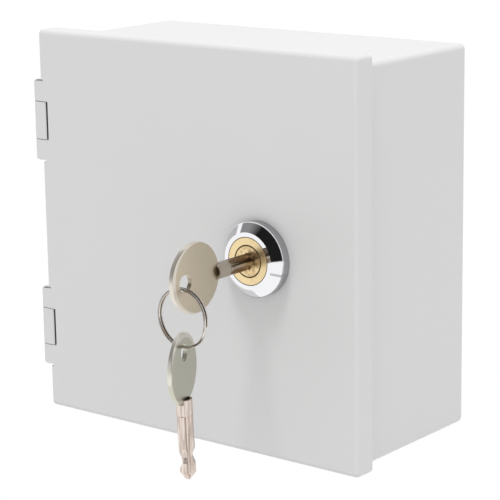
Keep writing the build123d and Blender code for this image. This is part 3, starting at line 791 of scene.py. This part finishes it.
@dataclass
class Cabinet:
    """The painted body on the wall, with its hinge leaves, grommets and earth stud."""

    leaves: tuple[str, ...] = ("upper_hinge_leaf", "lower_hinge_leaf")
    rubber: tuple[str, ...] = ("cable_grommet_left", "cable_grommet_right")
    earth: tuple[str, ...] = ("earth_stud", "earth_washer", "earth_nut")
    leaf_sheet: float = 1.2 * MM
    gap_inside: float = 0.45 * MM
    gap_outside: float = 0.1 * MM
    gap_depths: Pair = (0.5 * MM, 2.8 * MM)
    stud_radius: float = 3.0 * MM
    stud_pitch: float = 1.0 * MM
    stud_chamfer: float = 0.7 * MM
    mark: float = 1.5 * MM
    mark_flatness: float = 0.08
    mark_pitch: float = 5.5 * MM
    mark_from_edge: float = 3.0 * MM

    def build(self, paint: bpy.types.Material, zinc: bpy.types.Material) -> None:
        """Dress the body.

        Args:
            paint: the clean powder coat, for the weld marks.
            zinc: the plating on the small steel pieces.
        """
        # painted shade in the gaps between the hinge leaves and the door's notches
        coat = PowderCoat("body_powder_coat", joints=self.hinge_gaps())
        dress(("body_shell", *self.leaves), coat.build())
        dress(self.rubber, Moulded("grommet_rubber", (0.022, 0.022, 0.023), 0.55).build())
        dress(self.earth, zinc)
        self.earth_thread(zinc)
        self.weld_marks(paint)

    def hinge_gaps(self) -> tuple[Box, ...]:
        """Boxes round the gaps between the leaves and the door's notches, where shade is painted.
        """
        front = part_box("door_panel")[0].y + self.gap_depths[0]
        back = front + self.gap_depths[1]
        gaps = []
        for name in self.leaves:
            low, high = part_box(name)
            inner = (high.x - self.gap_inside, front, low.z)
            gaps.append((inner, (high.x + self.gap_outside, back, high.z)))
        return tuple(gaps)

    def earth_thread(self, zinc: bpy.types.Material) -> None:
        """Thread on the earth stud, from its nut to its tip."""
        low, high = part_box("earth_stud")
        nut_low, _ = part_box("earth_nut")
        tip = low.y + self.stud_chamfer
        g = Growth("earth_stud_thread")
        ridge = thread_ridge(g, Thread(self.stud_radius, self.stud_pitch, nut_low.y - tip))
        centre = ((low.x + high.x) / 2, tip, (low.z + high.z) / 2)
        g.grow(g.moved(ridge, centre), zinc, "box", "plated_steel")

    def weld_marks(self, paint: bpy.types.Material) -> None:
        """Painted-over spot welds on the flanges of both hinge leaves."""
        upper, lower = (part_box(name) for name in self.leaves)
        upper_z = (upper[0].z + upper[1].z) / 2
        lower_z = (lower[0].z + lower[1].z) / 2
        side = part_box("body_shell")[0].x - self.leaf_sheet
        back = upper[1].y - self.mark_from_edge
        centre = (side, back - 0.5 * self.mark_pitch, (upper_z + lower_z) / 2)
        g = Growth("spot_weld_marks")
        sphere = {"Segments": 20, "Rings": 10, "Radius": g.size("Mark", self.mark)}
        ball = g.node("GeometryNodeMeshUVSphere", sphere)
        dome = g.moved(ball, scale=(self.mark_flatness, 1.0, 1.0))
        apart = g.size("Leaves apart", upper_z - lower_z)
        pitch = g.size("Pitch", self.mark_pitch)
        marks = g.corners(dome, apart, pitch, centre, (0, 90, 0))
        g.grow(marks, paint, "box", "grey_powder_coat")


@dataclass
class Door:
    """The folded door, its pins and its gasket."""

    pins: tuple[str, ...] = ("upper_hinge_pin", "lower_hinge_pin")

    def build(self, paint: bpy.types.Material, zinc: bpy.types.Material) -> None:
        """Dress the door.

        Args:
            paint: the clean powder coat.
            zinc: the plating on the pins.
        """
        dress(("door_panel",), paint)
        dress(self.pins, zinc)
        dress(("door_gasket",), CellFoam().build())


@dataclass
class Lock:
    """The chromed lock with its brass barrel and plug, and the cam behind it."""

    tumblers: tuple[str, ...] = ("tumbler_pins", "driver_pins")
    steel: tuple[str, ...] = (
        "lock_tooth_washer",
        "lock_nut",
        "driver_springs",
        "lock_cam",
        "cam_washer",
        "cam_screw",
    )
    door_sheet: float = 1.2 * MM
    plug_colour: Triple = (0.92, 0.70, 0.37)
    plug_ring_pitch: float = 0.12 * MM

    def measure(self) -> tuple[Triple, float, float]:
        """A point on the plug's axis, and the outer radii of the plug and the barrel."""
        low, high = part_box("lock_barrel")
        plug_low, plug_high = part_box("lock_plug")
        return middle("lock_barrel"), (plug_high.x - plug_low.x) / 2, (high.x - low.x) / 2

    def build(self, zinc: bpy.types.Material) -> None:
        """Dress the lock.

        Args:
            zinc: the plating on the nut, washers and cam.
        """
        axis, plug, barrel = self.measure()
        rosette_low, rosette_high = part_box("lock_housing")
        rim = (rosette_high.x - rosette_low.x) / 2
        behind_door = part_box("door_panel")[0].y + self.door_sheet
        dress(("lock_housing",), Chrome(axis, rim, behind_door).build())
        outer = TurnedBrass("barrel_brass", axis, joints=(plug, barrel))
        inner = TurnedBrass(
            "plug_brass", axis, self.plug_colour, self.plug_ring_pitch, joints=(plug,)
        )
        dress(("lock_barrel",), outer.build())
        dress(("lock_plug",), inner.build())
        dress(self.tumblers, TurnedBrass("tumbler_brass", axis, tarnish=0.2).build())
        dress(self.steel, zinc)
        dress(("lock_seal_washer",), Moulded("seal_rubber", (0.03, 0.03, 0.03), 0.6).build())


@dataclass
class Keys:
    """Two keys on a split ring. The wire's crossing, ends and lean are angles in degrees."""

    bow_colour: Triple = (0.605, 0.53, 0.41)
    spare_bow_colour: Triple = (0.59, 0.58, 0.48)
    shank_colour: Triple = (0.52, 0.46, 0.38)
    spare_shank_colour: Triple = (0.85, 0.75, 0.685)
    collar: float = 6.2 * MM
    bore: float = 2.3 * MM
    wire_across: float = 0.9 * MM
    wire_along: float = 0.84 * MM
    wire_points: int = 220
    wire_sides: int = 12
    turn_gap: float = 0.32 * MM
    crossing: Pair = (308.0, 352.0)
    ends: Pair = (-5.0, 665.0)
    lean: float = 4.4

    def bow(self, name: str, colour: Triple) -> None:
        """Dress a key's bow, with a painted highlight on its rounded rim."""
        low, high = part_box("key_bow")
        disc = (middle(name), (high.z - low.z) / 2)
        metal = PlatedMetal(
            name + "_plate", colour, 0.32, depth=0.0006 * MM, mottle=0.03, disc=disc
        )
        dress((name,), metal.build())

    def split_ring(self, material: bpy.types.Material) -> None:
        """One wire in two turns that crosses over between them, in place of the CAD ring."""
        low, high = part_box("key_ring")
        g = Growth("split_ring")
        radius = g.size("Radius", (high.x - low.x - self.wire_across) / 2)
        across = g.size("Wire across", self.wire_across)
        along = g.size("Wire along", self.wire_along)
        gap = g.size("Gap between turns", self.turn_gap)
        angle = g.along() * (self.ends[1] - self.ends[0]) + self.ends[0]
        share = angle.step(*self.crossing)
        lift = share * share * (3.0 - share * 2.0) - 0.5
        turn = angle * (math.pi / 180)
        x = turn.maths(Op.COSINE) * radius
        y = turn.maths(Op.SINE) * radius
        path = g.path(self.wire_points, g.vector(x, y, lift * (along + gap)))
        coil = g.swept(path, self.wire_sides, across, along)
        hung = g.moved(coil, middle("key_ring"), (90, self.lean, 0))
        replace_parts(g.grow(hung, material, "ring", "ring_steel"), "key_ring")

    def build(self) -> None:
        """Dress the keys and hang the ring."""
        self.bow("key_bow", self.bow_colour)
        self.bow("spare_key_bow", self.spare_bow_colour)
        shank = PlatedMetal(
            "used_shank",
            self.shank_colour,
            roughness=0.34,
            scratch_along=(0, 1, 0),
            streaks=0.9,
            streaks_from=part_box("key_shank")[0].y + self.collar,
            axis=middle("key_shank"),
            bore=self.bore,
        )
        dress(("key_shank",), shank.build())
        spare = PlatedMetal("spare_shank", self.spare_shank_colour, 0.40, streaks=0.36)
        dress(("spare_key_shank",), spare.build())
        self.split_ring(SpringWire(middle("key_ring")[1]).build())


@dataclass
class Outlet:
    """The socket on its plate inside the box."""

    stud_radius: float = 2.0 * MM
    stud_shoulder: float = 4.0 * MM
    stud_pitch: float = 0.7 * MM
    stud_ridge: float = 0.26 * MM
    stud_chamfer: float = 0.5 * MM
    sheet_cell: float = 0.6 * MM
    fixings: tuple[str, ...] = (
        "plate_studs",
        "plate_nuts",
        "socket_cover_screw",
        "socket_base_screws",
        "socket_base_nuts",
    )

    def stud_threads(self, zinc: bpy.types.Material) -> None:
        """Threads on the four plate studs, from their nuts to their tips."""
        low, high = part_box("plate_studs")
        nut_low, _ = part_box("plate_nuts")
        tip = low.y + self.stud_chamfer
        thread = Thread(self.stud_radius, self.stud_pitch, nut_low.y - tip, self.stud_ridge)
        g = Growth("plate_stud_threads")
        ridge = thread_ridge(g, thread)
        width = g.size("Width", high.x - low.x - 2 * self.stud_shoulder)
        height = g.size("Height", high.z - low.z - 2 * self.stud_shoulder)
        centre = ((low.x + high.x) / 2, tip, (low.z + high.z) / 2)
        g.grow(g.corners(ridge, width, height, centre, (90, 0, 0)), zinc, "box", "plated_steel")

    def build(self, zinc: bpy.types.Material) -> None:
        """Dress the outlet.

        Args:
            zinc: the plating on the studs, nuts and screws.
        """
        dress(self.fixings, zinc)
        self.stud_threads(zinc)
        sheet = PlatedMetal(
            "galvanised_sheet", (0.60, 0.61, 0.62), 0.38, (1, 0, 0), self.sheet_cell, mottle=0.12
        )
        pieces = {
            "mounting_plate": sheet,
            "socket_cover": Moulded("socket_shell", (0.62, 0.63, 0.62), 0.38),
            "socket_base": Moulded("socket_base", (0.50, 0.51, 0.50), 0.5),
            "socket_contacts": PlatedMetal("contact_brass", (0.80, 0.62, 0.32), 0.3),
            "socket_earth_clip": PlatedMetal("clip_steel", (0.62, 0.62, 0.60), 0.3),
        }
        for name, finish in pieces.items():
            dress((name,), finish.build())


# Studio


@dataclass(frozen=True)
class Lamp:
    """A soft square lamp."""

    name: str
    spot: Triple
    size: float
    power: float


@dataclass
class Studio:
    """Camera, floor, lamps and surroundings.

    Angles are in degrees. A pair whose name ends in an axis is a soft edge in the room that
    reflections see: the coordinates of their direction where it starts and ends.
    """

    image: int = 500
    azimuth: float = 38.69
    elevation: float = 13.14
    roll: float = -0.88
    distance: float = 0.7117
    target: Triple = (0.02768, -0.0734, 0.00264)
    focal_px: float = 1980.6
    sensor: float = 36.0
    shift: float = 0.0016
    clip: Pair = (0.01, 50.0)
    ambient: float = 0.62
    from_right: float = 0.34
    from_above: float = 0.34
    soft_box: float = 1.10
    ground_z: Pair = (-0.07, -0.13)
    gap_z: Pair = (-0.66, -0.58)
    gap_x: Pair = (0.40, 0.50)
    gap_share: float = 0.45
    backdrop_y: Pair = (0.10, 0.30)
    strip_x: Pair = (-0.84, -0.87)
    strip_y: Pair = (-0.10, -0.06)
    strip_z: Pair = (0.53, 0.50)
    ceiling_x: Pair = (-0.18, -0.62)
    ceiling_z: Pair = (0.40, 0.50)
    ceiling_share: float = 0.25
    front_y: Pair = (-0.76, -0.84)
    front_z: Pair = (0.62, 0.52)
    front_share: float = 0.55
    dark: float = 0.012
    floor_half: float = 6.0
    floor_gap: float = 0.2 * MM
    floor_tones: Pair = (0.61, 0.63)
    floor_cell: float = 80 * MM
    floor_glow: float = 0.5
    floor_white: float = 1.025
    floor_share: float = 0.96
    lamps: tuple[Lamp, ...] = (Lamp("top_lamp", (0.062, -0.827, 2.40), 0.60, 27.0),)

    def camera(self) -> None:
        """Stand the camera where the photograph was taken from."""
        a = math.radians(self.azimuth)
        e = math.radians(self.elevation)
        r = math.radians(self.roll)
        back = Vector((math.sin(a) * math.cos(e), -math.cos(a) * math.cos(e), math.sin(e)))
        level = (-back).cross(Vector((0, 0, 1))).normalized()
        upright = level.cross(-back)
        right = level * math.cos(r) + upright * math.sin(r)
        up = upright * math.cos(r) - level * math.sin(r)
        data = bpy.data.cameras.new("camera")
        data.sensor_width = self.sensor
        data.lens = self.focal_px / self.image * self.sensor
        data.clip_start, data.clip_end = self.clip
        data.shift_y = self.shift
        camera = bpy.data.objects.new("camera", data)
        spot = Vector(self.target) + back * self.distance
        turn = Matrix((right, up, back)).transposed().to_4x4()
        camera.matrix_world = Matrix.Translation(spot) @ turn
        bpy.context.scene.collection.objects.link(camera)
        bpy.context.scene.camera = camera

    @staticmethod
    def band(value: Wire, low: float, high: float) -> Wire:
        """1 inside a band of values and 0 outside it, with soft ends."""
        soft = 0.2 * (high - low)
        return value.step(low - soft, low + soft) * value.step(high + soft, high - soft)

    def room(self, x: Wire, y: Wire, z: Wire) -> Wire:
        """What a reflection sees in a direction: lit ground, backdrop and strips in the dark."""
        gap = self.band(z, *self.gap_z) * x.step(*self.gap_x) * self.gap_share
        ground = z.step(*self.ground_z) * (1.0 - gap)
        backdrop = y.step(*self.backdrop_y)
        strip = x.step(*self.strip_x) * z.step(*self.strip_z) * y.step(*self.strip_y)
        ceiling = z.step(*self.ceiling_z) * x.step(*self.ceiling_x) * self.ceiling_share
        front = y.step(*self.front_y) * z.step(*self.front_z) * self.front_share
        lit = ground + backdrop + strip + ceiling + front + self.dark
        return lit.clamp() * self.soft_box

    def surroundings(self) -> None:
        """White behind the object, even light on it and a dark room in its reflections."""
        world = bpy.data.worlds.new("studio")
        bpy.context.scene.world = world
        world.use_nodes = True
        g = Graph(world.node_tree)
        direction = g.node("TexCoord", output="Generated")
        x, y, z = (g.axis(name, direction) for name in "XYZ")
        camera, glossy, clear = g.rays()
        even = (x * self.from_right + z * self.from_above + 1.0) * self.ambient
        level = g.mix(glossy, even, self.room(x, y, z))
        level = g.mix(camera.maths(Op.MAXIMUM, clear), level, (1.0, 1.0, 1.0))
        g.node("OutputWorld", {"Surface": g.node("Background", {"Color": level, "Strength": 1.0})})

    def floor(self) -> None:
        """A pale floor that stays white to the camera and keeps a trace of the object's shadow."""
        low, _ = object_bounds()
        mesh = bpy.data.meshes.new("floor")
        half = self.floor_half
        z = low.z - self.floor_gap
        corners = [(-half, -half, z), (half, -half, z), (half, half, z), (-half, half, z)]
        mesh.from_pydata(corners, [], [(0, 1, 2, 3)])
        floor = bpy.data.objects.new("floor", mesh)
        floor.visible_glossy = False
        bpy.context.scene.collection.objects.link(floor)
        material, g = new_material("pale_floor")
        camera, glossy, clear = g.rays()
        seen = camera.maths(Op.MAXIMUM, glossy).maths(Op.MAXIMUM, clear)
        tones = ((tone, tone, tone) for tone in self.floor_tones)
        matt = g.node("BsdfDiffuse", {"Color": g.mix(g.noise(self.floor_cell), *tones)})
        white = g.node("Emission", {"Color": (1.0, 1.0, 1.0), "Strength": self.floor_white})
        glow = seen.maths(Op.MAXIMUM, self.floor_glow) * self.floor_share
        both = g.node("MixShader", [glow, matt, white])
        g.node("OutputMaterial", {"Surface": both})
        mesh.materials.append(material)
        floor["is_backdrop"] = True

    def lights(self) -> None:
        """Lamps aimed at the camera's target."""
        for lamp in self.lamps:
            data = bpy.data.lights.new(lamp.name, "AREA")
            data.shape = "SQUARE"
            data.size = lamp.size
            data.energy = lamp.power
            hung = bpy.data.objects.new(lamp.name, data)
            hung.location = lamp.spot
            hung.visible_glossy = False
            aim = Vector(self.target) - Vector(lamp.spot)
            hung.rotation_mode = "QUATERNION"
            hung.rotation_quaternion = aim.to_track_quat("-Z", "Y")
            bpy.context.scene.collection.objects.link(hung)

    def build(self) -> None:
        """Set the studio up."""
        self.camera()
        self.surroundings()
        self.floor()
        self.lights()
        bpy.context.scene.view_settings.view_transform = "Standard"


def main() -> None:
    """Build every sub-assembly's looks around the frame."""
    logging.basicConfig(level=logging.INFO, format="%(name)s: %(message)s")
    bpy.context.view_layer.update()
    paint = PowderCoat().build()
    zinc = PlatedMetal("zinc_plate", (0.63, 0.63, 0.61), 0.32, mottle=0.10).build()
    Cabinet().build(paint, zinc)
    log.info("cabinet dressed")
    Door().build(paint, zinc)
    log.info("door dressed")
    Lock().build(zinc)
    log.info("lock dressed")
    Keys().build()
    log.info("keys dressed")
    Outlet().build(zinc)
    log.info("outlet dressed")
    Studio().build()
    log.info("studio set up")


if __name__ == "__main__":
    main()
